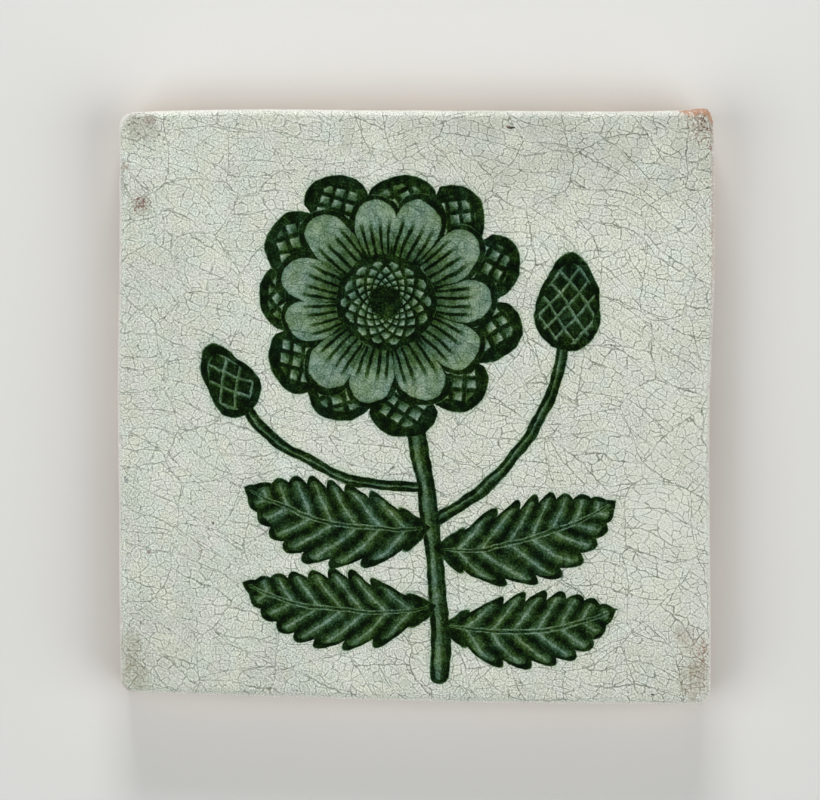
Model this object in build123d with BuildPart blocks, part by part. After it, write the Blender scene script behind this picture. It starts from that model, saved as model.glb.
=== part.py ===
"""Hand-pressed wall tile, nominally six inches square: one fired clay solid.

The tile lies on its back with the glazed face up. The origin is on the bed plane, under the middle of
the tile's bounding box. +X runs to the right of the face, +Y to its top side, and +Z out of the face.
"""

from build123d import *
import os

# Face of the tile, in millimetres. Pressing and firing left it a little out of square.
face_width = 152.4  # across the middle
face_height = 151.2  # up the middle
flare = 0.3  # each top corner stands this much outside the width, each bottom corner as much inside it
top_tilt = 0.5  # the top right corner stands this much above the height, the top left one as much below
bottom_tilt = 1.7  # the bottom right corner hangs this much lower, the bottom left one as much higher

# How far each side swells out of the straight line between its corners, or shrinks back from it.
# The places are evenly spaced, and they go down the left side and on round the face.
left_swell = (-0.1, 0.2, 0.55, 0.4, 0.35)
bottom_swell = (0.55, 0.7, 0.85, 0.85, 0.5)
right_swell = (-0.1, -0.4, -0.5, 0.4, 0.7)
top_swell = (-0.5, -0.15, 0.1, 0.45, 0.65)

# Rounding of each corner, seen on the face.
top_left_radius = 3.4
bottom_left_radius = 3.4
bottom_right_radius = 4.2
top_right_radius = 2.5

# Body of the tile.
thickness = 16.0
rim_radius = 2.0  # rounding of the face into the sides, where the glaze rolls over
side_draft = 2.0  # degrees: the sides run in towards the back, so that faces can be set close
back_bevel = 0.6  # the back edge is trimmed with a wire

# Keying in the back: parallel blind grooves that hold the bedding mortar.
groove_count = 6
groove_width = 8.0
groove_depth = 2.0
groove_draft = 25.0  # degrees: the groove's walls slope, so that the press releases
groove_root_bevel = 0.6
land_width = 14.0  # plain border of the back, round the grooves


def uneven_side(start, end, swell):
    """Draws one side of the face as a smooth line from one corner to the next."""
    outward = (end - start).normalized().rotate(Axis.Z, -90)
    places = [(index + 1) / (len(swell) + 1) for index in range(len(swell))]
    bends = [start + (end - start) * place + outward * out for place, out in zip(places, swell)]
    Spline(start, *bends, end)


# Corners of the face, from the top left one and anticlockwise.
top_left = Vector(-face_width / 2 - flare, face_height / 2 - top_tilt)
bottom_left = Vector(-face_width / 2 + flare, -face_height / 2 + bottom_tilt)
bottom_right = Vector(face_width / 2 - flare, -face_height / 2 - bottom_tilt)
top_right = Vector(face_width / 2 + flare, face_height / 2 + top_tilt)

with BuildSketch() as face_outline:
    with BuildLine():
        uneven_side(top_left, bottom_left, left_swell)
        uneven_side(bottom_left, bottom_right, bottom_swell)
        uneven_side(bottom_right, top_right, right_swell)
        uneven_side(top_right, top_left, top_swell)
    make_face()
    for corner, radius in (
        (top_left, top_left_radius),
        (bottom_left, bottom_left_radius),
        (bottom_right, bottom_right_radius),
        (top_right, top_right_radius),
    ):
        fillet(face_outline.vertices().sort_by_distance(corner)[0], radius)
outline_centre = face_outline.sketch.bounding_box().center()

# The grooves are spread evenly over the back, inside its plain border.
keyed_width = face_width - 2 * land_width
keyed_height = face_height - 2 * land_width
groove_pitch = (keyed_height - groove_width) / (groove_count - 1)

with BuildPart() as tile:
    # Drafted body, from the face down to the back.
    with BuildSketch(Plane.XY.offset(thickness)):
        with Locations(-outline_centre):
            add(face_outline.sketch)
    extrude(amount=-thickness, taper=side_draft)
    fillet(tile.faces().sort_by(Axis.Z)[-1].edges(), rim_radius)
    chamfer(tile.faces().sort_by(Axis.Z)[0].edges(), back_bevel)

    # Keying grooves, pressed into the back and closed at both ends.
    with BuildSketch(Plane.XY):
        with GridLocations(0, groove_pitch, 1, groove_count):
            SlotOverall(keyed_width, groove_width)
    extrude(amount=groove_depth, taper=groove_draft, mode=Mode.SUBTRACT)
    groove_floors = tile.faces().filter_by(Plane.XY).filter_by_position(
        Axis.Z, groove_depth / 2, thickness / 2
    )
    chamfer(groove_floors.edges(), groove_root_bevel)

tile.part.label = "tile"
os.makedirs("parts", exist_ok=True)
export_step(tile.part, "parts/tile.step")
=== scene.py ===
"""Looks of a hand-pressed wall tile: crackled glaze over green underglaze painting, on a fired clay body.

Lengths are in millimetres in the sizes and in the materials, and in metres in the meshes. The origin is
on the bed plane under the middle of the tile, with +Y towards the picture's top side.
"""

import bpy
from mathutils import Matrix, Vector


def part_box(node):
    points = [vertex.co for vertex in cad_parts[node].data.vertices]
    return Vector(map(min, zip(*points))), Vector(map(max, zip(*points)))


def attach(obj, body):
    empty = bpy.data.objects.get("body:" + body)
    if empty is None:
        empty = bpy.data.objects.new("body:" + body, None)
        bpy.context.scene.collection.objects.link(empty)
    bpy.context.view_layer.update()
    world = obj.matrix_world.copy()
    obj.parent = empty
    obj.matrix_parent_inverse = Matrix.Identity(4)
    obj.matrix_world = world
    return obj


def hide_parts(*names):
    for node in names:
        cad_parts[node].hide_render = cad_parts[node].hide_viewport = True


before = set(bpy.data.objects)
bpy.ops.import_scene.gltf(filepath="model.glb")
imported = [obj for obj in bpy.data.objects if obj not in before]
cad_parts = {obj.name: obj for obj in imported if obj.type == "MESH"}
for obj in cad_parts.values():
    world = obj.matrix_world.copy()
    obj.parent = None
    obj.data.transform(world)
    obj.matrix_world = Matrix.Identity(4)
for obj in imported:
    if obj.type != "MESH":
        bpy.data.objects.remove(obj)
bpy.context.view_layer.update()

import logging
import math
from collections.abc import Iterable
from dataclasses import dataclass, field
from enum import Enum

import bmesh
import bpy
from bmesh.types import BMEdge, BMesh, BMFace, BMVert
from bpy.types import Material, Node, NodeSocket, NodeTree, Object
from mathutils import Euler, Vector, noise

log = logging.getLogger("tile")

MM = 0.001  # metres in a millimetre
WELD = 1e-6  # metres within which two vertices are one
NODE = "tile"
BODY = "root"
SPREAD = "spread"  # attribute: the glazed surface laid flat, and the glaze left round each point
LIP = "lip"  # attribute: how far the surface turns away from the face, from 0 to 1

IMAGE_WIDTH = 820  # pixels
PIXELS_PER_MM = 3.892  # on the tile's face

BRUSH_ROOM = 3.0  # millimetres by which a hand-drawn line may stray from its true place


def linear(code: str) -> tuple[float, float, float, float]:
    """Turns an sRGB hex colour into the linear colour that the shaders take.

    Args:
        code: the colour as "#rrggbb".

    Returns:
        Linear red, green and blue, and an alpha of 1.
    """
    levels = [int(code[place:place + 2], 16) / 255 for place in (1, 3, 5)]
    red, green, blue = (
        level / 12.92 if level <= 0.04045 else ((level + 0.055) / 1.055) ** 2.4 for level in levels
    )
    return red, green, blue, 1.0


def add(
    tree: NodeTree,
    kind: str,
    inputs: dict[int | str, object] | None = None,
    **settings: object,
) -> Node:
    """Adds one node to a material, with its settings and its links.

    Args:
        tree: the material's or world's node tree.
        kind: the node's type, without its "ShaderNode".
        inputs: for an input's number or name, the socket or Field that feeds it or its plain value.
        **settings: the node's own settings.

    Returns:
        The new node.
    """
    node = tree.nodes.new("ShaderNode" + kind)
    for name, setting in settings.items():
        setattr(node, name, setting)
    for name, source in (inputs or {}).items():
        source = source.socket if isinstance(source, Field) else source
        if isinstance(source, NodeSocket):
            tree.links.new(source, node.inputs[name])
        else:
            node.inputs[name].default_value = source
    return node


@dataclass(frozen=True)
class Field:
    """A number that the shader works out at each point of a surface, with Python's arithmetic on it."""

    tree: NodeTree
    socket: NodeSocket

    @classmethod
    def parts(cls, tree: NodeTree, kind: str, source: NodeSocket) -> list["Field"]:
        """Returns the three numbers of a vector or a colour, by the node that separates them."""
        return [cls(tree, part) for part in add(tree, kind, {0: source}).outputs]

    def maths(self, operation: str, *others: "Field | float") -> "Field":
        """Returns the field put through one operation of the Math node."""
        inputs = dict(enumerate((self, *others)))
        return Field(self.tree, add(self.tree, "Math", inputs, operation=operation).outputs[0])

    def __add__(self, other: "Field | float") -> "Field":
        """Returns the sum of two fields."""
        return self.maths("ADD", other)

    def __sub__(self, other: "Field | float") -> "Field":
        """Returns this field less the other."""
        return self.maths("SUBTRACT", other)

    def __rsub__(self, other: float) -> "Field":
        """Returns a number less this field."""
        return (self * -1) + other

    def __mul__(self, other: "Field | float") -> "Field":
        """Returns the product of two fields."""
        return self.maths("MULTIPLY", other)

    __radd__ = __add__
    __rmul__ = __mul__

    def __truediv__(self, other: "Field | float") -> "Field":
        """Returns this field divided by the other."""
        return self.maths("DIVIDE", other)

    def __abs__(self) -> "Field":
        """Returns the field without its sign."""
        return self.maths("ABSOLUTE")

    def least(self, other: "Field | float") -> "Field":
        """Returns the lesser of two fields."""
        return self.maths("MINIMUM", other)

    def most(self, other: "Field | float") -> "Field":
        """Returns the greater of two fields."""
        return self.maths("MAXIMUM", other)

    def ramp(self, start: float, end: float, low: float = 0.0, high: float = 1.0) -> "Field":
        """Carries the field smoothly from one value to another.

        Args:
            start: where the result is still low. It may lie above end.
            end: where the result has become high.
            low: the result up to start.
            high: the result from end on.

        Returns:
            The carried field, held between low and high.
        """
        inputs = {0: self, 1: start, 2: end, 3: low, 4: high}
        node = add(self.tree, "MapRange", inputs, interpolation_type="SMOOTHSTEP")
        return Field(self.tree, node.outputs[0])

    def blend(self, other: "Field | float", share: "Field") -> "Field":
        """Returns this field with a share of it given over to another."""
        inputs = {0: share, 2: self, 3: other}
        return Field(self.tree, add(self.tree, "Mix", inputs, data_type="FLOAT").outputs[0])


def length(one: Field, other: Field) -> Field:
    """Returns the length of the diagonal that two sides span."""
    return (one * one + other * other).maths("SQRT")


def attribute(tree: NodeTree, name: str) -> Field:
    """Returns a number that the mesh holds at each of its points."""
    return Field(tree, add(tree, "Attribute", attribute_name=name).outputs["Fac"])


def blend_colours(tree: NodeTree, share: object, one: object, other: object, kind: str = "MIX") -> NodeSocket:
    """Lays one colour on another.

    Args:
        tree: the material's node tree.
        share: how much of the other colour shows, as a Field or a number.
        one: the colour below.
        other: the colour above.
        kind: the blend type, such as MIX or MULTIPLY.

    Returns:
        The socket of the mixed colour.
    """
    node = add(tree, "Mix", {0: share, 6: one, 7: other}, data_type="RGBA", blend_type=kind)
    return node.outputs[2]


@dataclass(frozen=True)
class Ground:
    """The places that a material's patterns are drawn on, in millimetres."""

    tree: NodeTree
    point: NodeSocket
    x: Field
    y: Field
    margin: Field  # millimetres of glaze left round a point, negative on bare clay
    dimensions: str

    @classmethod
    def spread(cls, tree: NodeTree) -> "Ground":
        """Makes the ground of the glaze: its surface laid flat, so that the sides carry on from the face.

        Args:
            tree: the material's node tree.

        Returns:
            The ground, for patterns of two dimensions.
        """
        point = add(tree, "Attribute", attribute_name=SPREAD).outputs["Vector"]
        return cls(tree, point, *Field.parts(tree, "SeparateXYZ", point), "2D")

    @classmethod
    def solid(cls, tree: NodeTree) -> "Ground":
        """Makes the ground of the clay: the object's own coordinates, all through the body.

        Args:
            tree: the material's node tree.

        Returns:
            The ground, for patterns of three dimensions.
        """
        place = add(tree, "TexCoord").outputs["Object"]
        point = add(tree, "VectorMath", {0: place, 3: 1 / MM}, operation="SCALE").outputs[0]
        return cls(tree, point, *Field.parts(tree, "SeparateXYZ", point), "3D")

    def cloud(self, size: float, detail: float = 2.0, channel: int | None = None) -> Field:
        """Draws soft uneven patches.

        Args:
            size: the distance from one patch to the next, in millimetres.
            detail: how many finer octaves it holds.
            channel: which of three unlike patterns of the same size to take, or None for the plain one.

        Returns:
            The patches, mostly between 0.3 and 0.7.
        """
        inputs = {"Vector": self.point, "Scale": 1 / size, "Detail": detail}
        node = add(self.tree, "TexNoise", inputs, noise_dimensions=self.dimensions)
        if channel is None:
            return Field(self.tree, node.outputs["Fac"])
        return Field.parts(self.tree, "SeparateColor", node.outputs["Color"])[channel]

    def dots(self, size: float) -> Field:
        """Draws round dots, some larger than others.

        Args:
            size: the distance from one dot to the next, in millimetres.

        Returns:
            The dots, from about 0.8 in the middle of the largest to 0.1 between them.
        """
        inputs = {"Vector": self.point, "Scale": 1 / size}
        outputs = add(self.tree, "TexVoronoi", inputs, voronoi_dimensions=self.dimensions).outputs
        chance = Field.parts(self.tree, "SeparateColor", outputs["Color"])[0]
        return 0.8 - Field(self.tree, outputs["Distance"]) * 0.8 - chance * 0.25


class Bend(Enum):
    """The side to which a curved line turns, seen along it."""

    LEFT = 1
    RIGHT = -1


@dataclass(frozen=True)
class Patch:
    """An upright rectangle on the face."""

    left: float
    bottom: float
    right: float
    top: float

    def meets(self, other: "Patch") -> bool:
        """Returns True if two patches share some ground."""
        beside = self.left < other.right and other.left < self.right
        return beside and self.bottom < other.top and other.bottom < self.top

    def holds(self, x: float, y: float) -> bool:
        """Returns True for a point in the patch."""
        return self.left <= x < self.right and self.bottom <= y < self.top

    @classmethod
    def round(cls, points: Iterable[tuple[float, float]], room: float) -> "Patch":
        """Makes the patch round some points.

        Args:
            points: the points.
            room: how much is left free round them.

        Returns:
            The patch.
        """
        across, up = zip(*points)
        return cls(min(across) - room, min(up) - room, max(across) + room, max(up) + room)


def lozenges(one: Field, other: Field, rise: Field) -> Field:
    """Paints light lozenges in a dark net, each graded from a mid green to a pale one.

    Args:
        one: the place between two strokes of one family, from 0 to 1.
        other: the place between two strokes of the family that crosses it.
        rise: the place along the lozenge, from -1 at its deeper end to 1 at its paler one.

    Returns:
        How many washes lie at each point.
    """
    to_stroke = (0.5 - abs(one - 0.5)).least(0.5 - abs(other - 0.5))
    light = rise.ramp(-0.7, 0.6, 2.5, 0.55)
    return (light * 0 + 4.0).blend(light, to_stroke.ramp(0.08, 0.24))


@dataclass
class Painting:
    """The underglaze painting, as one field: how many washes of pigment lie at each point."""

    x: Field
    y: Field
    press: Field  # how hard the brush presses, about 1
    depth: Field
    softness: float = 0.2  # half the width over which a brushed edge bleeds into the glaze
    bleed: float = 0.14  # washes that have crept out round a motif
    full: float = 4.1  # washes in a line drawn with a loaded brush

    def lay(self, margin: Field, depth: "Field | float") -> None:
        """Lays pigment over what is there, wherever the margin is negative."""
        cover = margin.ramp(self.softness, -self.softness)
        self.depth = self.depth.most(margin.ramp(1.8, 0.0, 0.0, self.bleed)).blend(depth, cover)

    def draw(self, distance: Field, width: float) -> None:
        """Draws a dark line of a width in millimetres, where the distance is near 0."""
        edge = abs(distance) - self.press * (width / 2)
        self.depth = self.depth.most(edge.ramp(self.softness, -self.softness, 0.0, self.full))


@dataclass(frozen=True)
class Arc:
    """A curved axis on the face: it leaves a point with a heading, and turns with one radius."""

    x: float
    y: float
    heading: float  # degrees from +X, anticlockwise
    radius: float
    bend: Bend

    def follow(self, painting: Painting) -> tuple[Field, Field]:
        """Measures the painting's points along the arc.

        Args:
            painting: the painting whose points are measured.

        Returns:
            The distance along the arc from its start, and the distance to its left.
        """
        cosine, sine = math.cos(math.radians(self.heading)), math.sin(math.radians(self.heading))
        right, up = painting.x - self.x, painting.y - self.y
        ahead = right * cosine + up * sine
        inwards = (up * cosine - right * sine) * self.bend.value
        to_centre = self.radius - inwards
        along = ahead.maths("ARCTAN2", to_centre) * self.radius
        left = (self.radius - length(ahead, to_centre)) * self.bend.value
        return along, left

    def patch(self, reach: float, room: float, steps: int = 6) -> Patch:
        """Finds the patch of the face round the arc's first part.

        Args:
            reach: how far along the arc to go.
            room: how much is left free round it.
            steps: how many pieces the arc is measured in.

        Returns:
            The patch.
        """
        points = []
        for step in range(steps + 1):
            turn = reach * step / steps / self.radius
            ahead = self.radius * math.sin(turn)
            aside = self.radius * (1 - math.cos(turn)) * self.bend.value
            course = math.radians(self.heading)
            points.append((
                self.x + ahead * math.cos(course) - aside * math.sin(course),
                self.y + ahead * math.sin(course) + aside * math.cos(course),
            ))
        return Patch.round(points, room)


@dataclass(frozen=True)
class Stem:
    """A stalk painted as a mid-green band with a lighter stripe and two dark sides."""

    axis: Arc
    length: float
    half_width: float
    line: float = 1.0

    @property
    def patch(self) -> Patch:
        """The part of the face that the stalk lies on."""
        return self.axis.patch(self.length, self.half_width + BRUSH_ROOM)

    def paint(self, painting: Painting) -> None:
        """Paints the stalk, with its two ends rounded."""
        along, left = self.axis.follow(painting)
        past_end = (abs(along - self.length / 2) - self.length / 2).most(0.0)
        margin = length(past_end, left) - self.half_width
        aside = abs(left - self.half_width * 0.25)
        stripe = aside.ramp(self.half_width * 0.1, self.half_width * 0.55, 1.5, 3.1)
        painting.lay(margin, stripe)
        painting.draw(margin + self.line / 2, self.line)


@dataclass(frozen=True)
class Leaf:
    """A lobed leaf along an arc, dark between its veins, with the veins left light."""

    axis: Arc
    length: float
    half_width: float
    vein_pitch: float = 6.2
    vein_lead: float = 0.95  # how far a side vein runs on along the leaf for each millimetre across it
    lobe_depth: float = 2.4
    line: float = 1.25

    @property
    def patch(self) -> Patch:
        """The part of the face that the leaf lies on."""
        return self.axis.patch(self.length, self.half_width + self.lobe_depth + BRUSH_ROOM)

    def paint(self, painting: Painting) -> None:
        """Paints the blade, its veins and its outline."""
        along, left = self.axis.follow(painting)
        across = abs(left)
        half = self.length / 2
        circle = (half**2 + self.half_width**2) / (2 * self.half_width)
        place = (along - half) / half
        lens = length(along - half, across + (circle - self.half_width)) - circle
        fullness = (1 - place * place).most(0.0)
        beat = ((along - across * self.vein_lead) / self.vein_pitch).maths("PINGPONG", 0.5)
        margin = lens + (beat * beat * 4 - 0.5) * fullness * self.lobe_depth
        to_vein = beat * (self.vein_pitch / math.hypot(1, self.vein_lead))
        vein = to_vein.ramp(0.15, 0.62).most(margin.ramp(-2.2, -1.2))
        midrib = (across - fullness * 0.4).ramp(0.1, 0.5)
        midline = (across - fullness * 0.12).ramp(0.12, 0.3, 1.6, 0.0)
        flesh = to_vein.ramp(0.7, 2.1, 2.2, 4.1)
        painting.lay(margin, vein.least(midrib) * (flesh - 1.15) + 1.15 + midline)
        painting.draw(margin + self.line / 2, self.line)


@dataclass(frozen=True)
class Head:
    """Where a flower's rings lie: their shared middle on the face."""

    x: float
    y: float

    def measure(self, painting: Painting) -> tuple[Field, Field]:
        """Returns each point's distance from the middle, and its angle round it in whole turns."""
        right, up = painting.x - self.x, painting.y - self.y
        return length(right, up), up.maths("ARCTAN2", right) / math.tau

    def patch(self, radius: float) -> Patch:
        """Returns the part of the face that a ring of a radius lies on."""
        return Patch.round([(self.x, self.y)], radius + BRUSH_ROOM)


class PetalDress(Enum):
    """How a ring's petals are painted."""

    WASHED = "a light wash, with strokes at its foot"
    CHEQUERED = "dark, with small light lozenges"


@dataclass(frozen=True)
class PetalRing:
    """A ring of petals with round ends."""

    head: Head
    dress: PetalDress
    count: int
    inner: float
    outer: float
    half_width: float
    turn: float  # the ring's turn, as a share of one petal
    line: float = 1.2
    unevenness: float = 0.14

    @property
    def patch(self) -> Patch:
        """The part of the face that the ring lies on."""
        return self.head.patch(self.outer)

    def paint(self, painting: Painting) -> None:
        """Paints every petal of the ring, each a little different from the next."""
        radius, turns = self.head.measure(painting)
        place = turns * self.count + self.turn
        number = place.maths("ROUND")
        angle = (place - number) * (math.tau / self.count)
        whole = number.maths("FLOORED_MODULO", float(self.count)) + self.count * 10.0
        whim = add(whole.tree, "TexWhiteNoise", {"W": whole}, noise_dimensions="1D").outputs[0]
        whim = Field(whole.tree, whim)
        reach = (self.outer - self.inner) * (1 - whim * self.unevenness)
        share = (radius * angle.maths("COSINE") - self.inner) / reach
        aside = radius * angle.maths("SINE") + (whim - 0.5) * share * share * (self.half_width * 0.5)
        half_width = share * (self.half_width * 0.75) + self.half_width * 0.55
        across = aside / half_width
        margin = (length(share * 2 - 1, across) - 1) * half_width
        if self.dress is PetalDress.WASHED:
            depth = self.wash(share, across, margin)
        else:
            depth = self.chequer(share * reach, aside, margin)
        painting.lay(margin, depth)
        painting.draw(margin + self.line / 2, self.line)

    @staticmethod
    def wash(share: Field, across: Field, margin: Field) -> Field:
        """Returns the washes of a light petal: strokes at the foot, and pigment pooled at the edge."""
        strokes = abs(abs(abs(across) - 0.36) - 0.17).ramp(0.09, 0.03, 0.0, 2.6)
        foot = share.ramp(0.72, 0.5)
        shade = share.ramp(0.2, 0.7, 1.3, 0.0)
        pool = margin.ramp(-2.0, -0.5, 0.0, 0.45)
        return strokes * foot + shade + pool + 0.95

    @staticmethod
    def chequer(along: Field, aside: Field, margin: Field) -> Field:
        """Returns the washes of a dark petal: light lozenges between strokes that cross."""
        pitch = 4.8
        one = ((along + aside) / pitch).maths("FRACT")
        other = ((along - aside) / pitch).maths("FRACT")
        net = lozenges(one, other, one + other - 1)
        return net.most(margin.ramp(-2.4, -1.6, 0.0, 4.1))


@dataclass(frozen=True)
class SeedDisc:
    """The flower's middle: light seeds in a dark net of two crossing families of spirals."""

    head: Head
    radius: float
    arms: int = 14
    core: float = 4.0
    line: float = 1.5

    @property
    def patch(self) -> Patch:
        """The part of the face that the disc lies on."""
        return self.head.patch(self.radius)

    def paint(self, painting: Painting) -> None:
        """Paints the net, the dark core and the ring round them."""
        radius, turns = self.head.measure(painting)
        spiral = (radius / self.radius).maths("LOGARITHM", math.e) / math.tau * 1.15
        one = ((turns + spiral) * self.arms).maths("FRACT")
        other = ((turns - spiral) * self.arms).maths("FRACT")
        seeds = lozenges(one, other, one - other)
        core = radius.ramp(self.core, self.core + 0.5, 3.9, 0.0)
        painting.lay(radius - self.radius, seeds.most(core))
        painting.draw(radius - (self.radius - self.line / 2), self.line)


@dataclass(frozen=True)
class Bud:
    """A closed bud: an egg of overlapping scales, each dark with a light edge."""

    axis: Arc
    length: float
    half_width: float
    scale_pitch: float = 4.0
    line: float = 1.3

    @property
    def patch(self) -> Patch:
        """The part of the face that the bud lies on."""
        return self.axis.patch(self.length, self.half_width + BRUSH_ROOM)

    def paint(self, painting: Painting) -> None:
        """Paints the egg with its scales and its outline."""
        along, left = self.axis.follow(painting)
        share = along / self.length
        half_width = (self.half_width * 1.2 - share * (self.half_width * 0.5)).most(1.0)
        margin = (length(share * 2 - 1, left / half_width) - 1) * half_width
        one = ((along + left * 1.3) / (self.scale_pitch * 1.6)).maths("FRACT")
        other = ((along - left * 1.3) / (self.scale_pitch * 1.6)).maths("FRACT")
        scale = one.most(other).ramp(0.7, 0.92, 4.0, 1.4)
        painting.lay(margin, scale)
        painting.draw(margin + self.line / 2, self.line)


@dataclass(frozen=True)
class PaintedFlower:
    """The whole painted plant: a tall flower with two buds and two pairs of lobed leaves."""

    head: Head = Head(-8.0, 27.0)

    def motifs(self) -> list[Stem | Leaf | PetalRing | SeedDisc | Bud]:
        """Lists the motifs from the lowest layer of paint to the highest."""
        head = self.head
        return [
            Stem(Arc(3.0, -30.0, 25.0, 62.0, Bend.LEFT), 60.0, 1.4),
            Bud(Arc(38.0, 14.0, 80.0, 90.0, Bend.LEFT), 26.0, 8.6),
            Stem(Arc(1.0, -20.0, 185.0, 51.0, Bend.RIGHT), 51.0, 1.3),
            Bud(Arc(-43.0, -1.5, 127.0, 70.0, Bend.RIGHT), 20.0, 6.6),
            Stem(Arc(6.0, -69.0, 90.0, 321.0, Bend.LEFT), 92.0, 2.3),
            Leaf(Arc(4.5, -36.0, -6.0, 70.0, Bend.LEFT), 50.0, 10.0),
            Leaf(Arc(3.5, -31.0, 188.0, 70.0, Bend.RIGHT), 50.0, 10.0),
            Leaf(Arc(6.0, -56.0, -12.0, 80.0, Bend.LEFT), 47.0, 9.0),
            Leaf(Arc(5.0, -51.0, 192.0, 80.0, Bend.RIGHT), 51.0, 9.6),
            PetalRing(head, PetalDress.CHEQUERED, 11, 6.0, 36.5, 8.8, 0.5),
            PetalRing(head, PetalDress.WASHED, 11, 7.0, 30.0, 7.0, 0.0),
            SeedDisc(head, 12.5),
        ]


class Cover(Enum):
    """How densely a mark's grains lie at its middle, as the level of noise that they start from."""

    SOLID = 0.2
    DENSE = 0.4
    HALF = 0.48
    SPARSE = 0.56


@dataclass(frozen=True)
class GlazeMark:
    """A mark in or on the glaze, such as a spot, a painted glint or a broad darker or lighter patch: grains
    that lie thinner towards the edge of an ellipse.
    """

    name: str
    x: float
    y: float
    half_width: float
    half_height: float
    colour: str
    strength: float
    cover: Cover
    grain: float = 0.6  # size of the grains, in millimetres
    softness: float = 0.04
    seep: float = 0.0  # how much thicker it lies along the cracks
    dotted: bool = False  # True for round dots in place of ragged grains

    @property
    def patch(self) -> Patch:
        """The part of the face that the mark lies on."""
        return Patch.round([(self.x, self.y)], max(self.half_width, self.half_height) * 1.8)

    def over(self, ground: Ground, below: NodeSocket, dirt: Field) -> NodeSocket:
        """Lays the mark on a colour.

        Args:
            ground: the material's places.
            below: the colour below it.
            dirt: how much of the dirt in the cracks shows.

        Returns:
            The colour with the mark laid on it.
        """
        reach = length((ground.x - self.x) / self.half_width, (ground.y - self.y) / self.half_height)
        rise = (Cover.SPARSE.value + 0.1 - self.cover.value) * 0.8
        pattern = ground.dots(self.grain) if self.dotted else ground.cloud(self.grain, 2.0)
        grains = pattern - reach * reach * rise - self.cover.value
        if self.seep:
            grains = grains + dirt * self.seep
        share = grains.ramp(-self.softness, self.softness, 0.0, self.strength)
        marked = blend_colours(ground.tree, share, below, linear(self.colour))
        marked.node.label = self.name
        return marked


# Broad patches laid over the glaze's colour: darker below the top side and at the bottom left, lighter at the
# right.
TONE_PATCHES = (
    GlazeMark("darker patch below the top side", 36.0, 68.0, 46.0, 15.0, "#a9aa9c", 0.3, Cover.DENSE, 7.0, 0.3),
    GlazeMark("darker patch at the bottom left", -60.0, -66.0, 26.0, 13.0, "#a9aa9c", 0.15, Cover.DENSE, 7.0, 0.3),
    GlazeMark("lighter patch at the right", 68.0, -22.0, 16.0, 34.0, "#eef2e6", 0.45, Cover.DENSE, 7.0, 0.3),
)

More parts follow.
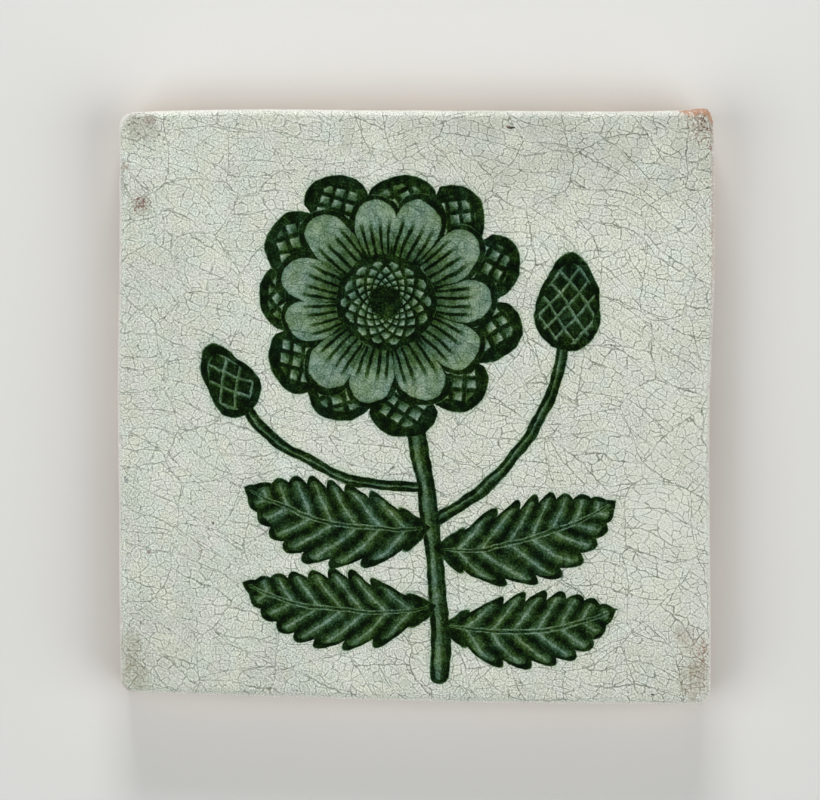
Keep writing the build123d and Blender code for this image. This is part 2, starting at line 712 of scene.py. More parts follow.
STAINS_AND_GLINTS = (
    GlazeMark("rust rosette at the left", -70.9, 52.2, 2.1, 1.9, "#6e4438", 0.85, Cover.HALF, 0.75),
    GlazeMark("rust rosette's halo", -70.9, 52.2, 3.2, 3.0, "#9a8273", 0.5, Cover.HALF, 0.5, 0.1),
    GlazeMark("pink spot on the left lip", -75.0, 61.6, 1.5, 1.3, "#a68a7a", 0.6, Cover.DENSE, 0.6, 0.14),
    GlazeMark("soot on the left lip", -75.6, 58.0, 1.1, 4.5, "#94948c", 0.5, Cover.DENSE, 0.6, 0.1),
    GlazeMark("grey wash in the top left corner", -71.0, 72.0, 5.0, 5.0, "#979480", 0.33, Cover.SOLID, 3.0, 0.25),
    GlazeMark("speckle in the top left corner", -70.5, 73.0, 5.0, 3.4, "#8d8a7b", 0.5, Cover.HALF, 0.8, 0.08,
          dotted=True),
    GlazeMark("dark dots at the top left", -70.5, 70.5, 8.0, 8.0, "#5c5f52", 0.6, Cover.SPARSE, 1.3, 0.05,
          dotted=True),
    GlazeMark("pink-brown clump at the top left", -68.6, 74.0, 1.9, 1.6, "#967c6e", 0.6, Cover.DENSE, 0.5, 0.14),
    GlazeMark("brown haze in the top right corner", 74.2, 73.6, 4.8, 5.4, "#a8937f", 0.5, Cover.DENSE, 1.4, 0.15),
    GlazeMark("brown seeping in the top right corner", 74.0, 72.8, 4.4, 4.8, "#6e5140", 0.5, Cover.SPARSE, 0.7,
          0.1, 0.2),
    GlazeMark("dark specks in the top right corner", 73.9, 73.0, 1.6, 2.6, "#4a3229", 0.85, Cover.HALF, 0.9,
          dotted=True),
    # Painted highlights: white flecks where the chipped corner would catch the light.
    GlazeMark("painted glints in the top right corner", 74.0, 74.4, 2.6, 3.0, "#f8f2e8", 0.8, Cover.SPARSE, 1.1,
          dotted=True),
    GlazeMark("orange lip in the top right corner", 71.8, 76.9, 5.0, 2.2, "#b98563", 0.85, Cover.SOLID, 0.9,
          0.12),
    GlazeMark("orange corner", 76.6, 75.6, 1.9, 3.0, "#b98563", 0.8, Cover.SOLID, 1.0, 0.12),
    GlazeMark("brown specks on the orange lip", 72.2, 76.2, 4.4, 1.6, "#6f4736", 0.65, Cover.HALF, 0.9,
          dotted=True),
    # Painted highlights: white flecks where the orange lip would catch the light.
    GlazeMark("painted glints on the orange lip", 72.6, 75.6, 4.2, 1.2, "#f3e2d2", 0.75, Cover.SPARSE, 1.0,
          dotted=True),
    GlazeMark("brown specks down the right lip", 75.6, 70.0, 1.4, 5.0, "#8c6251", 0.65, Cover.HALF, 0.9, 0.08,
          dotted=True),
    GlazeMark("dark red spot on the right lip", 75.8, 66.5, 0.6, 0.8, "#7a3c31", 0.8, Cover.DENSE, 0.4, 0.08),
    GlazeMark("pink tinge down the right lip", 76.8, 48.0, 1.4, 24.0, "#b59488", 0.5, Cover.DENSE, 0.9, 0.15),
    GlazeMark("pink specks lower on the right lip", 76.8, -2.0, 1.0, 26.0, "#a98478", 0.5, Cover.SPARSE, 0.6,
          0.08),
    GlazeMark("brown wash up the left side", -73.8, -62.5, 3.0, 7.0, "#958f72", 0.26, Cover.SOLID, 3.0, 0.25),
    GlazeMark("olive wash in the bottom left corner", -72.6, -69.6, 3.4, 3.8, "#928a66", 0.32, Cover.SOLID, 3.0,
          0.25),
    GlazeMark("brown seeping in the bottom left corner", -72.8, -66.0, 3.2, 8.0, "#84745a", 0.42, Cover.SPARSE,
          0.7, 0.06, 0.2),
    GlazeMark("brown corner at the bottom left", -75.0, -73.6, 2.0, 2.0, "#a08b78", 0.5, Cover.HALF, 0.6, 0.1),
    GlazeMark("olive wash in the bottom right corner", 71.4, -70.6, 4.0, 4.8, "#988e66", 0.29, Cover.SOLID, 3.0,
          0.25),
    GlazeMark("pink wash above the bottom right corner", 72.9, -63.6, 2.8, 5.0, "#a88a72", 0.15, Cover.SOLID, 3.0,
          0.25),
    GlazeMark("pink haze farther up", 68.9, -59.0, 2.6, 3.2, "#a29080", 0.3, Cover.SOLID, 2.0, 0.25),
    GlazeMark("brown seeping in the bottom right corner", 72.0, -67.0, 4.2, 8.0, "#846b50", 0.42, Cover.SPARSE,
          0.7, 0.06, 0.2),
    GlazeMark("brown crack in the bottom right corner", 70.4, -70.0, 0.35, 3.2, "#8d7c55", 0.6, Cover.DENSE,
          0.5, 0.1),
    GlazeMark("pink-brown flecks above the corner", 73.6, -63.0, 1.6, 3.4, "#a07a62", 0.5, Cover.HALF, 0.7, 0.12),
    GlazeMark("dark dash near the top side", 24.3, 71.8, 0.95, 0.42, "#20241c", 0.92, Cover.SOLID, 0.5),
    GlazeMark("brown edge of the dash", 23.4, 72.1, 0.8, 0.4, "#7a5748", 0.7, Cover.DENSE, 0.4),
    GlazeMark("dark speck near the bottom side", 60.6, -73.9, 0.5, 0.3, "#1f2320", 0.92, Cover.SOLID, 0.4),
    GlazeMark("blue pinhole at the left", -74.4, -18.8, 0.5, 0.7, "#5d6c86", 0.7, Cover.DENSE, 0.4, 0.08),
    GlazeMark("dark speck at the left", -52.3, -29.8, 0.4, 0.4, "#3c3a30", 0.8, Cover.SOLID, 0.4),
    GlazeMark("rust speck at the left", -68.8, -37.3, 0.5, 0.5, "#7d5a44", 0.7, Cover.SOLID, 0.4),
    GlazeMark("rust speck between the leaves", -55.5, -37.0, 0.6, 0.5, "#94785a", 0.6, Cover.DENSE, 0.4),
    GlazeMark("speck at the right", 66.0, 20.0, 0.4, 0.35, "#4a4a3c", 0.8, Cover.SOLID, 0.4),
)


@dataclass(frozen=True)
class Cracks:
    """The crazing as a material reads it."""

    dirt: Field  # how much of the dirt in the cracks shows at each point
    distance: Field  # millimetres to the nearest crack
    lots: list[Field]  # three numbers between 0 and 1 for each small cell


@dataclass(frozen=True)
class Crazing:
    """The cracks of a glaze that has shrunk more than its clay, with dirt drawn into them.

    The oldest cracks part the glaze into plates. Long curved cracks run side by side across each plate,
    and the youngest ones cut the strips between those into uneven cells.
    """

    plate: float = 15.0  # sizes are in millimetres, from one crack of a kind to the next
    row: float = 5.6
    cell: float = 2.8
    squeeze: float = 1.45  # how much longer a cell is along its strip than across it
    half_width: float = 0.13
    bead: float = 0.12  # how much wider a crack is where dirt has gathered in it
    lean: float = 20.0  # degrees by which the long cracks fall to the right, on the whole
    fan: float = 60.0  # degrees between the steepest and the least steep
    strengths: tuple[float, float, float] = (0.84, 0.8, 0.72)  # how dark each generation has become

    def draw(self, ground: Ground) -> Cracks:
        """Draws the crazing.

        Args:
            ground: the material's places.

        Returns:
            The cracks.
        """
        tree = ground.tree
        place = self.bend(ground, self.bend(ground, ground.point, 17.0, 6.0), 2.4, 0.7)
        to_plate, plate_lots = self.cells(place, None, self.plate, tree)
        turn = (plate_lots[0] - 0.5) * math.radians(self.fan) + math.radians(self.lean)
        inputs = {"Vector": place, "Angle": turn}
        turned = add(tree, "VectorRotate", inputs, rotation_type="Z_AXIS").outputs[0]
        along, across, _ = Field.parts(tree, "SeparateXYZ", turned)
        to_row, row_lots = self.cells(None, across + plate_lots[1] * 90.0, self.row, tree)
        shifted = {0: along + row_lots[0] * 90.0, 1: across * self.squeeze + row_lots[1] * 90.0}
        inner = add(tree, "CombineXYZ", shifted).outputs[0]
        to_cell, lots = self.cells(inner, None, self.cell, tree)
        bead = ground.cloud(0.8, 1.0).ramp(0.48, 0.76, 0.0, self.bead)
        faint = ground.cloud(4.0, 2.0).ramp(0.3, 0.62, 0.45, 1.0) * ground.x.ramp(-60.0, 45.0, 0.92, 1.04)
        dirt = None
        for distance, strength in zip((to_plate, to_row, to_cell), self.strengths):
            line = (distance - bead).ramp(self.half_width * 1.3, self.half_width * 0.1, 0.0, strength)
            dirt = line if dirt is None else dirt.most(line)
        return Cracks(dirt * faint, to_plate.least(to_row).least(to_cell), lots)

    @staticmethod
    def bend(ground: Ground, place: NodeSocket, size: float, sway: float) -> NodeSocket:
        """Moves places about by soft waves of a size, both in millimetres."""
        inputs = {"Vector": ground.point, "Scale": 1 / size, "Detail": 0.0}
        waves = add(ground.tree, "TexNoise", inputs, noise_dimensions="2D").outputs["Color"]
        inputs = {0: waves, 1: (sway, sway, 0), 2: place}
        return add(ground.tree, "VectorMath", inputs, operation="MULTIPLY_ADD").outputs[0]

    @staticmethod
    def cells(
        place: NodeSocket | None, line: Field | None, size: float, tree: NodeTree
    ) -> tuple[Field, list[Field]]:
        """Cuts a surface or a line into uneven cells.

        Args:
            place: where each point of the surface lies, or None for a line.
            line: where each point of the line lies.
            size: the cells' size, in millimetres.
            tree: the material's node tree.

        Returns:
            The distance to the nearest cut in millimetres, and three numbers for each cell.
        """
        inputs = {"Scale": 1 / size, "Randomness": 0.95}
        inputs |= {"W": line} if place is None else {"Vector": place}
        kind = {"voronoi_dimensions": "1D" if place is None else "2D"}
        edge = add(tree, "TexVoronoi", inputs, feature="DISTANCE_TO_EDGE", **kind)
        colour = add(tree, "TexVoronoi", inputs, **kind).outputs["Color"]
        return Field(tree, edge.outputs["Distance"]) * size, Field.parts(tree, "SeparateColor", colour)


@dataclass(frozen=True)
class CrackledGlaze:
    """Lead glaze over white slip and green underglaze pigment, crazed all over as it cooled.

    A greyish off-white with faint bluish, yellowish and pinkish patches, with dirt in its crazing and painted
    highlights beside it.
    The pigment under it is one green, bluer or more olive in places, so each wash takes the same share
    of the light.
    """

    colour: str = "#d2dbcc"  # towards the left, where it leans to green
    warm_colour: str = "#dadecf"  # towards the right
    bluish: str = "#d6dfd6"
    yellowish: str = "#dcdfce"
    pinkish: str = "#dadcd4"
    thin_glaze_and_painted_lip_light: str = "#efeae4"  # paler on the rim's slopes: partly glaze running thin over the rim, partly painted light that brightens the rim where it turns from the face
    cool_wash: str = "#85a297"  # white light through one wash of pigment
    olive_wash: str = "#8ea578"
    dirt: str = "#6a7460"
    painted_glint: str = "#f3f7ee"  # painted highlight: where the edge of a crack would catch the light
    pinhole: str = "#4c4c42"
    pinhole_pitch: float = 3.4
    patch: float = 9.0  # soft patches of colour in the glaze
    grain: float = 0.38  # pebbling of the glaze. Finer than this, it would be lost in the picture
    painted_glint_grain: float = 0.55
    ripple: float = 1.3  # from one swell of the glaze's surface to the next, in millimetres
    ripple_depth: float = 0.014
    crazing: Crazing = Crazing()
    index: float = 1.5
    roughness: float = 0.14
    lip_roughness: float = 0.48
    flower: PaintedFlower = PaintedFlower()

    def make(self, patch: Patch) -> Material:
        """Builds the glaze's material for one patch of the tile.

        Only what reaches the patch is painted on it, which keeps each shader small. The patterns run on
        from one patch to the next.

        Args:
            patch: the part of the face that the material covers.

        Returns:
            The material, with clay showing wherever the piece's glaze margin is negative.
        """
        material, tree = new_material("crackled_lead_glaze")
        ground = Ground.spread(tree)
        cracks = self.crazing.draw(ground)
        colour = self.glaze_colour(ground, cracks)
        for tone_patch in TONE_PATCHES:
            if tone_patch.patch.meets(patch):
                colour = tone_patch.over(ground, colour, cracks.dirt)
        dirt = cracks.dirt * attribute(tree, LIP).ramp(0.05, 0.5, 1.0, 0.25)
        motifs = [motif for motif in self.flower.motifs() if motif.patch.meets(patch)]
        if motifs:
            washes = self.pigment(ground, motifs)
            hue = ground.cloud(6.0, 2.0, 2) * 1.4 - 0.7 + washes.ramp(0.8, 3.0, 0.3, 0.75)
            wash = blend_colours(tree, hue, linear(self.cool_wash), linear(self.olive_wash))
            washed = add(tree, "Gamma", {0: wash, 1: washes}).outputs[0]
            colour = blend_colours(tree, 1.0, colour, washed, "MULTIPLY")
            dirt = dirt * washes.ramp(0.0, 1.0, 1.0, 0.8)
        colour = blend_colours(tree, dirt, colour, linear(self.dirt), "MULTIPLY")
        for glaze_mark in STAINS_AND_GLINTS:
            if glaze_mark.patch.meets(patch):
                colour = glaze_mark.over(ground, colour, dirt)
        clay = BiscuitClay()
        bare = clay.bared(ground)
        colour = blend_colours(tree, bare, colour, clay.colour_at(Ground.solid(tree)))
        lip = attribute(tree, LIP).ramp(0.01, 0.1)
        roughness = (ground.cloud(3.0) * 0.1 + self.roughness).blend(self.lip_roughness, lip)
        roughness = roughness.blend(clay.roughness, bare)
        height = ground.cloud(self.ripple, 3.0) * (self.ripple_depth * MM)
        bump = add(tree, "Bump", {"Height": height, "Distance": 1.0})
        finish(tree, colour, roughness, bump.outputs[0], self.index)
        return material

    def glaze_colour(self, ground: Ground, cracks: Cracks) -> NodeSocket:
        """Returns the colour of the plain glaze.

        Args:
            ground: the material's places.
            cracks: the crazing.

        Returns:
            The colour, with its soft patches, its pebbling, its painted highlights beside the cracks, its
            darkening towards the edges and its pinholes, and the paler lip, partly thinner glaze and partly
            painted light.
        """
        tree = ground.tree
        rightward = (ground.x + ground.y * 0.4).ramp(-85.0, 85.0)
        colour = blend_colours(tree, rightward, linear(self.colour), linear(self.warm_colour))
        tints = zip((self.bluish, self.yellowish, self.pinkish), cracks.lots)
        for channel, (tint, lot) in enumerate(tints):
            share = (ground.cloud(self.patch, 2.0, channel) + lot * 0.05).ramp(0.46, 0.8)
            colour = blend_colours(tree, share, colour, linear(tint))
        # Paler towards the rim as it turns from the face: partly thin glaze, partly painted light.
        lip = attribute(tree, LIP).ramp(0.12, 0.5, 0.0, 0.9)
        colour = blend_colours(tree, lip, colour, linear(self.thin_glaze_and_painted_lip_light))
        shade = ground.cloud(self.grain, 1.0).ramp(0.25, 0.75, 0.69, 1.33) * (cracks.lots[0] * 0.08 + 0.96)
        shade = shade * ground.cloud(24.0, 1.0).ramp(0.3, 0.7, 0.95, 1.04)
        # Darker towards the edges of the face.
        shade = shade * abs(ground.x).most(abs(ground.y)).ramp(66.0, 75.0, 1.0, 0.94)
        # Painted highlight: a faint pale halo beside each crack.
        shade = shade * (cracks.distance.ramp(0.12, 0.3) * cracks.distance.ramp(0.8, 0.4) * 0.08 + 1)
        shade = shade.blend(1.0, attribute(tree, LIP).ramp(0.3, 0.8, 0.0, 0.65))
        grey = add(tree, "CombineXYZ", {0: shade, 1: shade, 2: shade}).outputs[0]
        colour = blend_colours(tree, 1.0, colour, grey, "MULTIPLY")
        # Painted highlights: pale flecks beside the cracks, where their edges would catch the light.
        painted_glints = ground.cloud(self.painted_glint_grain, 1.0, 0).ramp(0.52, 0.63) * cracks.distance.ramp(0.8, 0.4)
        colour = blend_colours(tree, painted_glints, colour, linear(self.painted_glint))
        inputs = {"Vector": ground.point, "Scale": 1 / self.pinhole_pitch}
        seeds = add(tree, "TexVoronoi", inputs, voronoi_dimensions="2D").outputs
        chance = Field.parts(tree, "SeparateColor", seeds["Color"])[0]
        hole = Field(tree, seeds["Distance"]) * self.pinhole_pitch - (chance - 0.5) * 0.5
        return blend_colours(tree, hole.ramp(0.06, -0.1, 0.0, 0.75), colour, linear(self.pinhole))

    def pigment(self, ground: Ground, motifs: list[Stem | Leaf | PetalRing | SeedDisc | Bud]) -> Field:
        """Paints some motifs.

        Args:
            ground: the material's places.
            motifs: the motifs to paint, from the lowest layer to the highest.

        Returns:
            How many washes of pigment lie at each point.
        """
        tree = ground.tree
        x, y = ground.x, ground.y
        for size, sway in ((16.0, 2.4), (3.0, 0.45)):
            x = x + (ground.cloud(size, 1.0, 0) - 0.5) * sway
            y = y + (ground.cloud(size, 1.0, 1) - 0.5) * sway
        bare = Field(tree, add(tree, "Value").outputs[0])
        bare.socket.default_value = 0.0
        painting = Painting(x, y, ground.cloud(7.0, 1.0).ramp(0.3, 0.7, 0.8, 1.3), bare)
        for motif in motifs:
            motif.paint(painting)
        speckle = ground.cloud(0.5, 1.0).ramp(0.25, 0.75, 0.78, 1.22)
        mottle = ground.cloud(2.2, 3.0).ramp(0.3, 0.7, 0.8, 1.2)
        return painting.depth * speckle * mottle * ground.cloud(7.0, 2.0, 1).ramp(0.3, 0.7, 0.88, 1.12)


@dataclass(frozen=True)
class BiscuitClay:
    """Buff clay with grog, pressed and fired once: pale and matt, with darker and lighter grains."""

    colour: str = "#c2a482"
    dark: str = "#8d6a4c"
    pale: str = "#e2d3ba"
    speck: str = "#5d4636"
    grog: float = 0.8
    grain_depth: float = 0.22
    roughness: float = 0.85
    index: float = 1.5

    def colour_at(self, ground: Ground) -> NodeSocket:
        """Returns the clay's colour, with its patches and its grains."""
        tree = ground.tree
        patches = ground.cloud(18.0, 4.0).ramp(0.35, 0.7, 0.0, 0.55)
        colour = blend_colours(tree, patches, linear(self.colour), linear(self.dark))
        grains = ground.cloud(self.grog, 1.0, 0).ramp(0.62, 0.72, 0.0, 0.7)
        colour = blend_colours(tree, grains, colour, linear(self.pale))
        specks = ground.cloud(self.grog * 1.4, 1.0, 1).ramp(0.66, 0.74, 0.0, 0.75)
        return blend_colours(tree, specks, colour, linear(self.speck))

    def relief(self, ground: Ground) -> Field:
        """Returns the height of the clay's grain, in millimetres."""
        return ground.cloud(self.grog * 1.5, 4.0) * self.grain_depth

    def bared(self, ground: Ground) -> Field:
        """Returns 1 where the glaze has run out or broken away, and 0 under glaze."""
        return (ground.margin + (ground.cloud(1.2, 3.0) - 0.5) * 1.2).ramp(0.12, -0.12)

    def make(self) -> Material:
        """Builds the clay's material, for the tile's back.

        Returns:
            The material.
        """
        material, tree = new_material("buff_biscuit_clay")
        ground = Ground.solid(tree)
        height = self.relief(ground) * MM
        bump = add(tree, "Bump", {"Height": height, "Strength": 1.0, "Distance": 1.0})
        finish(tree, self.colour_at(ground), self.roughness, bump.outputs[0], self.index)
        return material


def new_material(name: str) -> tuple[Material, NodeTree]:
    """Makes an empty material.

    Args:
        name: the material's name.

    Returns:
        The material and its node tree.
    """
    material = bpy.data.materials.new(name)
    material.use_nodes = True
    material.node_tree.nodes.clear()
    return material, material.node_tree


def finish(
    tree: NodeTree, colour: object, roughness: object, normal: NodeSocket, index: float
) -> None:
    """Ends a material in one shader.

    Args:
        tree: the material's node tree.
        colour: the base colour, as a socket or a linear colour.
        roughness: the roughness, as a Field or a number.
        normal: the bumped normal.
        index: the index of refraction.
    """
    inputs = {"Base Color": colour, "Roughness": roughness, "IOR": index, "Normal": normal}
    shader = add(tree, "BsdfPrincipled", inputs)
    add(tree, "OutputMaterial", {"Surface": shader.outputs[0]})


@dataclass(frozen=True)
class Chip:
    """A place where the glazed rim is knocked away, or else where it stands out."""

    x: float
    y: float
    z: float
    radius: float
    depth: float  # negative where it stands out
    bare: bool = False  # True where the glaze is gone and the clay shows

    def span(self, point: Vector) -> float:
        """Returns a point's distance from the chip's middle, made ragged."""
        away = (point - Vector((self.x, self.y, self.z))).length
        return away * (1 + 0.35 * noise.noise(point / 0.9)) if away < self.radius * 2 else away


@dataclass
class TileBody:
    """The tile's mesh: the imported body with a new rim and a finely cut, slightly uneven surface."""

    rim_radius: float = 2.0
    rim_steps: int = 8
    face_pitch: float = 0.95
    side_pitch: float = 1.0
    back_band: float = 0.7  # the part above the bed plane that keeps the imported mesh
    glaze_step: float = 0.28  # how far the glaze stands out from the bare clay
    glaze_foot: float = 10.0  # mean height of the glaze's lower edge above the bed plane
    deep_glaze: float = 4.0  # the glaze's margin isn't measured farther in than this
    crease: float = 38.0  # degrees between two faces above which their shared edge looks sharp
    chip_cuts: int = 1
    patches_a_side: int = 4
    patch_room: float = 2.0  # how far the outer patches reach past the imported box, as the glaze may
    map_share: float = 0.8  # share of the map that the face takes each way
    chips: tuple[Chip, ...] = (
        Chip(-76.6, -8.7, 15.0, 1.3, 0.55),
        Chip(-76.2, -55.6, 15.0, 1.4, 0.6),
        Chip(75.6, 4.2, 15.0, 1.3, 0.5),
        Chip(75.5, -13.3, 15.0, 1.1, 0.45),
        Chip(67.6, 76.8, 15.0, 1.2, 0.3),
        Chip(72.8, 77.0, 14.6, 2.8, -0.3),
        Chip(77.0, 75.6, 15.0, 2.4, 0.5),
        Chip(-76.2, 74.6, 15.0, 3.2, 0.75),
        Chip(76.8, 66.0, 14.8, 1.6, 0.25),
        Chip(77.0, 72.0, 15.4, 0.9, 0.25, True),
        Chip(75.6, 75.9, 15.6, 0.8, 0.2, True),
    )

    def patches(self) -> list[Patch]:
        """Lists the patches that the face is divided into, each with a material of its own."""
        low, high = (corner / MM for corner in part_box(NODE))
        room = Vector((self.patch_room, self.patch_room, 0))
        low, high = low - room, high + room
        step = (high - low) / self.patches_a_side
        spots = range(self.patches_a_side)
        return [
            Patch(low.x + across * step.x, low.y + up * step.y,
                  low.x + (across + 1) * step.x, low.y + (up + 1) * step.y)
            for up in spots for across in spots
        ]

    def build(self) -> Object:
        """Builds the piece, with one material number for each patch and the last for the clay.

        Returns:
            The tile's object, at the origin.
        """
        shape = bmesh.new()
        shape.from_mesh(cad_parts[NODE].data)
        bmesh.ops.remove_doubles(shape, verts=shape.verts, dist=WELD)
        self.round_rim(shape)
        self.cut_finely(shape)
        spread = self.lay_flat(shape)
        lip = [1 - abs(vert.normal.z) for vert in shape.verts]
        self.lay_out_map(shape)
        self.shape_surface(shape, spread)
        patches = self.patches()
        for face in shape.faces:
            middle = face.calc_center_median() / MM
            numbers = [n for n, patch in enumerate(patches) if patch.holds(middle.x, middle.y)]
            face.material_index = numbers[0] if middle.z > self.back_band and numbers else len(patches)
            face.smooth = True
        mesh = bpy.data.meshes.new("glazed_tile")
        shape.to_mesh(mesh)
        shape.free()
        mesh.set_sharp_from_angle(angle=math.radians(self.crease))
        mesh.attributes.new(SPREAD, "FLOAT_VECTOR", "POINT").data.foreach_set(
            "vector", [part for place in spread for part in place]
        )
        mesh.attributes.new(LIP, "FLOAT", "POINT").data.foreach_set("value", lip)
        piece = bpy.data.objects.new("glazed_tile", mesh)
        bpy.context.scene.collection.objects.link(piece)
        return piece

    def round_rim(self, shape: BMesh) -> None:
        """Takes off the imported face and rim, and makes them anew with an evenly rounded rim.

        Args:
            shape: the tile's mesh. Its sides end in one level loop, which the new rim starts from.
        """
        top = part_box(NODE)[1].z
        tall = [f for f in shape.faces if height(f) > 1.2 * self.rim_radius * MM]
        start = max(v.co.z for f in tall for v in f.verts)
        upper = [f for f in shape.faces if min(v.co.z for v in f.verts) > start - WELD * 5]
        bmesh.ops.delete(shape, geom=upper, context="FACES")
        loop = [e for e in shape.edges if e.is_boundary]
        cap = bmesh.ops.holes_fill(shape, edges=loop, sides=0)["faces"]
        raised = bmesh.ops.extrude_face_region(shape, geom=cap)["geom"]
        bmesh.ops.delete(shape, geom=cap, context="FACES_ONLY")
        verts = [part for part in raised if isinstance(part, BMVert)]
        bmesh.ops.translate(shape, verts=verts, vec=(0, 0, top - start))
        bmesh.ops.recalc_face_normals(shape, faces=shape.faces)
        rim = [part for part in raised if isinstance(part, BMEdge)]
        bmesh.ops.bevel(
            shape, geom=rim, offset=self.rim_radius * MM, offset_type="OFFSET", affect="EDGES",
            segments=self.rim_steps, profile=0.5, material=-1,
        )

    def cut_finely(self, shape: BMesh) -> None:
        """Cuts the face, the rim and the sides into small faces, and the chipped places into smaller ones.

        Args:
            shape: the tile's mesh.
        """
        low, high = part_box(NODE)
        pitch = self.face_pitch * 1.0
        upper = [f for f in shape.faces if is_upper(f, self.back_band)]
        for axis, step in ((0, pitch), (1, pitch), (2, self.side_pitch)):
            if axis == 2:
                below_rim = high.z - self.rim_radius * MM
                upper = [f for f in upper if f.calc_center_median().z < below_rim]
            slice_across(shape, upper, axis, evenly(low[axis], high[axis], step * MM))
            upper = [f for f in shape.faces if is_upper(f, self.back_band)]
        for chip in self.chips:
            middle = Vector((chip.x, chip.y, chip.z)) * MM
            reach = (chip.radius + 0.8) * MM
            near = [e for e in shape.edges if any((v.co - middle).length < reach for v in e.verts)]
            bmesh.ops.subdivide_edges(shape, edges=near, cuts=self.chip_cuts, use_grid_fill=True)
        shape.normal_update()
        shape.verts.index_update()

    def glaze_edge(self, point: Vector) -> float:
        """Works out how far down the side the glaze has run.

        Args:
            point: a place on the side, in millimetres.

        Returns:
            The height of the glaze's lower edge above the bed plane, in millimetres.
        """
        flat = Vector((point.x, point.y, 0))
        wave = noise.noise(flat / 14) * 3.0 + noise.noise(flat / 5 + Vector((3, 7, 1))) * 1.4
        run = max(0.0, noise.noise(flat / 6 + Vector((11, 5, 2))) - 0.25) * 12
        return self.glaze_foot + wave - run

    def lay_flat(self, shape: BMesh) -> list[Vector]:
        """Lays the glazed surface flat, and measures its glaze.

        Args:
            shape: the tile's mesh.

        Returns:
            For each vertex, its place with the sides folded out level with the face, and in place of its
            height the distance to the glaze's edge: all in millimetres.
        """
        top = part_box(NODE)[1].z
        places = []
        for vert in shape.verts:
            point = vert.co / MM
            fold = (top - vert.co.z) / MM
            margin = min(point.z - self.glaze_edge(point), self.deep_glaze)
            for chip in self.chips:
                if chip.bare:
                    margin = min(margin, chip.span(point) - chip.radius * 0.9)
            places.append(Vector((point.x + vert.normal.x * fold, point.y + vert.normal.y * fold, margin)))
        return places

    def shape_surface(self, shape: BMesh, spread: list[Vector]) -> None:
        """Moves the vertices to the unevenness of a pressed tile, the glaze's edge and the chips.

        Args:
            shape: the tile's mesh.
            spread: what lay_flat returns.
        """
        moves: list[Vector] = []
        for vert, place in zip(shape.verts, spread):
            point = vert.co / MM
            edge_on = 1.0 - abs(vert.normal.z)
            out = noise.noise(point / 26) * 0.14 + noise.noise(point / 8 + Vector((2, 4, 6))) * 0.05
            out = out * (1 - edge_on * 0.8)
            out += edge_on * (noise.noise(point / 3.4) * 0.09 + noise.noise(point / 1.7) * 0.04)
            if point.z < self.back_band:
                out = 0.0
            elif edge_on > 0.5:
                share = min(max(place.z / 1.2, 0.0), 1.0)
                out += self.glaze_step * (share * share * (3 - 2 * share) - 1)
            for chip in self.chips:
                share = 1 - (chip.span(point) / chip.radius) ** 3
                if share > 0:
                    out -= chip.depth * share * (1 + 0.5 * noise.noise(point / 0.6) * chip.bare)
            moves.append(vert.normal * out * MM)
        for vert, move in zip(shape.verts, moves):
            vert.co += move

    def lay_out_map(self, shape: BMesh) -> None:
        """Gives the mesh the OFBake map, with most of it for the painted face.

        Args:
            shape: the tile's mesh.
        """
        layer = shape.loops.layers.uv.new("OFBake")
        low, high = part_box(NODE)
        width, depth = (high.x - low.x) * 1.01, (high.y - low.y) * 1.01
        spare = 1 - self.map_share
        for face in shape.faces:
            normal = face.normal
            along_x = abs(normal.y) > abs(normal.x)
            lane = int(along_x) * 2 + int((normal.y if along_x else normal.x) > 0)
            for loop in face.loops:
                x, y = (loop.vert.co.x - low.x) / width, (loop.vert.co.y - low.y) / depth
                if normal.z > 0.4:
                    place = (x * self.map_share, y * self.map_share)
                elif normal.z < -0.4:
                    place = (self.map_share + 0.01 + x * spare * 0.94, y * spare * 0.94)
                else:
                    up = self.map_share + 0.005 + (lane + 0.9 * loop.vert.co.z / high.z) * spare * 0.2425
                    place = ((x if along_x else y) * self.map_share, up)
                loop[layer].uv = place


def height(face: BMFace) -> float:
    """Returns how far a face reaches from its lowest point to its highest."""
    levels = [vert.co.z for vert in face.verts]
    return max(levels) - min(levels)


def is_upper(face: BMFace, band: float) -> bool:
    """Returns True for a face above a band in millimetres over the bed plane."""
    return face.calc_center_median().z > band * MM


def slice_across(shape: BMesh, faces: list[BMFace], axis: int, places: Iterable[float]) -> None:
    """Cuts faces by parallel planes, from the lowest plane to the highest.

    Args:
        shape: the mesh of the faces.
        faces: the faces to cut.
        axis: 0, 1 or 2 for planes across X, Y or Z.
        places: where the planes cross the axis, in rising order.
    """
    normal = Vector(int(number == axis) for number in range(3))
    for place in places:
        edges = {edge for face in faces for edge in face.edges}
        verts = {vert for face in faces for vert in face.verts}
        cut = bmesh.ops.bisect_plane(
            shape, geom=[*faces, *edges, *verts], dist=WELD / 10, plane_co=normal * place, plane_no=normal
        )
        pieces = (part for part in cut["geom"] if isinstance(part, BMFace))
        faces = [piece for piece in pieces if max(v.co[axis] for v in piece.verts) > place + WELD]


def evenly(low: float, high: float, pitch: float) -> list[float]:
    """Spaces cuts evenly between two places.

    Args:
        low: the lower place.
        high: the higher place.
        pitch: the distance between cuts, at most.

    Returns:
        The cuts' places, without the two ends.
    """
    count = math.ceil((high - low) / pitch)
    return [low + (high - low) * number / count for number in range(1, count)]


@dataclass
class Tile:
    """The glazed tile: one fired piece."""

    body: TileBody = field(default_factory=TileBody)
    glaze: CrackledGlaze = CrackledGlaze()
    clay: BiscuitClay = BiscuitClay()

    def build(self) -> Object:
        """Builds and dresses the tile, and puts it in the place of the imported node.

        Returns:
            The tile's object.
        """
        piece = self.body.build()
        log.info("%s: %d faces", piece.name, len(piece.data.polygons))
        for patch in self.body.patches():
            piece.data.materials.append(self.glaze.make(patch))
        piece.data.materials.append(self.clay.make())
        log.info("%s: %d materials", piece.name, len(piece.data.materials))
        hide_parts(NODE)
        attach(piece, BODY)
        return piece


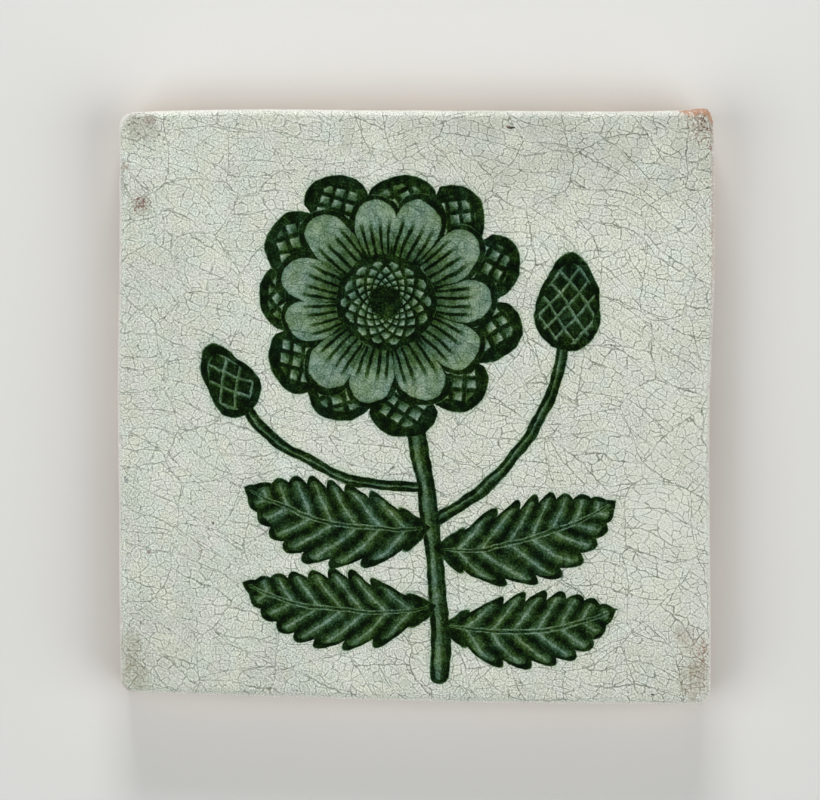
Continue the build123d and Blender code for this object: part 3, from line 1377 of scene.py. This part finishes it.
@dataclass(frozen=True)
class Lamp:
    """One soft box, aimed at the tile."""

    name: str
    azimuth: float  # degrees from +X
    elevation: float  # degrees above the floor
    width: float  # metres
    height: float  # metres
    share: float  # what it adds to the light on the face. A sum of 1 shows a colour as it is written
    distance: float = 1.25  # metres

    def build(self) -> Object:
        """Makes the lamp.

        Returns:
            The lamp's object.
        """
        turn, rise = math.radians(self.azimuth), math.radians(self.elevation)
        data = bpy.data.lights.new(self.name, "AREA")
        data.shape = "RECTANGLE"
        data.size, data.size_y = self.width, self.height
        data.energy = self.share * (math.pi * self.distance) ** 2 / math.sin(rise)
        direction = Vector((math.cos(turn) * math.cos(rise), math.sin(turn) * math.cos(rise), math.sin(rise)))
        lamp = bpy.data.objects.new(self.name, data)
        lamp.location = direction * self.distance
        lamp.rotation_euler = direction.to_track_quat("Z", "Y").to_euler()
        bpy.context.scene.collection.objects.link(lamp)
        return lamp


@dataclass(frozen=True)
class Studio:
    """A pale floor with a low curved wall, soft lamps and a camera that looks straight down on the tile."""

    floor_colour: str = "#ebebe8"
    paper_roughness: float = 0.9
    paper_index: float = 1.45
    floor_radius: float = 3.2  # metres, and so are the next four
    wall_height: float = 0.9
    foot_radius: float = 0.6
    lit_radius: float = 0.2  # up to here the floor shows its light and the tile's shadow
    even_radius: float = 0.42  # from here on a camera sees it as an even backdrop
    floor_sides: int = 96
    foot_steps: int = 12
    surroundings: float = 0.05
    camera_height: float = 1.3  # above the face, in metres
    picture_middle: tuple[float, float] = (-1.68, 1.81)  # on the face, from the tile's origin
    sensor: float = 36.0
    lamps: tuple[Lamp, ...] = (
        Lamp("key_soft_box", 92.0, 24.0, 0.5, 0.45, 0.26),
        Lamp("left_soft_box", 200.0, 42.0, 1.9, 1.75, 0.335, 2.2),
        Lamp("right_soft_box", 340.0, 42.0, 1.9, 1.75, 0.335, 2.2),
    )

    def build(self) -> None:
        """Builds the floor, the lamps, the surroundings and the camera."""
        self.lay_floor()
        for lamp in self.lamps:
            log.info("lamp %s", lamp.build().name)
        self.surround()
        self.place_camera()

    def lay_floor(self) -> None:
        """Lays a plain pale floor under the tile, turned up into a low wall all round."""
        mesh = bpy.data.meshes.new("floor")
        shape = bmesh.new()
        bmesh.ops.create_circle(shape, cap_ends=True, segments=self.floor_sides, radius=self.floor_radius)
        foot = list(shape.edges)
        raised = bmesh.ops.extrude_edge_only(shape, edges=foot)["geom"]
        verts = [part for part in raised if isinstance(part, BMVert)]
        bmesh.ops.translate(shape, verts=verts, vec=(0, 0, self.wall_height))
        bmesh.ops.bevel(
            shape, geom=foot, offset=self.foot_radius, offset_type="OFFSET", affect="EDGES",
            segments=self.foot_steps, profile=0.5, material=-1,
        )
        for face in shape.faces:
            face.smooth = len(face.verts) <= 4
        shape.to_mesh(mesh)
        shape.free()
        floor = bpy.data.objects.new("floor", mesh)
        mesh.materials.append(self.dress_floor())
        bpy.context.scene.collection.objects.link(floor)

    def dress_floor(self) -> Material:
        """Builds the material of matt pale paper, seen as evenly lit away from the tile.

        Returns:
            The material. It throws light back in the same way all over: only what the camera sees of it,
            directly or mirrored, is made even.
        """
        material, tree = new_material("pale_paper_backdrop")
        place = add(tree, "TexCoord").outputs["Object"]
        x, y, _ = Field.parts(tree, "SeparateXYZ", place)
        rays = add(tree, "LightPath").outputs
        seen = Field(tree, rays["Is Camera Ray"]).most(Field(tree, rays["Is Glossy Ray"]))
        seen = seen.most(Field(tree, rays["Is Transmission Ray"]))
        even = length(x, y).ramp(self.lit_radius, self.even_radius) * seen
        colour = linear(self.floor_colour)
        inputs = {"Base Color": colour, "Roughness": self.paper_roughness, "IOR": self.paper_index}
        paper = add(tree, "BsdfPrincipled", inputs)
        glow = add(tree, "Emission", {"Color": colour, "Strength": 1.0})
        mixed = add(tree, "MixShader", {0: even, 1: paper.outputs[0], 2: glow.outputs[0]})
        add(tree, "OutputMaterial", {"Surface": mixed.outputs[0]})
        return material

    def surround(self) -> None:
        """Gives the world an even grey light."""
        world = bpy.data.worlds.new("studio")
        world.use_nodes = True
        world.node_tree.nodes.clear()
        light = add(world.node_tree, "Background", {0: linear("#ffffff"), 1: self.surroundings})
        add(world.node_tree, "OutputWorld", {0: light.outputs[0]})
        bpy.context.scene.world = world

    def place_camera(self) -> None:
        """Places the camera over the tile, so that the face is as large as in the picture."""
        data = bpy.data.cameras.new("camera")
        data.sensor_width = self.sensor
        view_width = IMAGE_WIDTH / PIXELS_PER_MM * MM
        data.lens = self.sensor * self.camera_height / view_width
        camera = bpy.data.objects.new("camera", data)
        x, y = self.picture_middle
        camera.location = (x * MM, y * MM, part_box(NODE)[1].z + self.camera_height)
        camera.rotation_euler = Euler((0, 0, 0))
        bpy.context.scene.collection.objects.link(camera)
        bpy.context.scene.camera = camera


def main() -> None:
    """Builds the tile and the studio in order."""
    logging.basicConfig(level=logging.INFO, format="%(name)s: %(message)s")
    bpy.context.scene.view_settings.view_transform = "Standard"
    Tile().build()
    Studio().build()


if __name__ == "__main__":
    main()
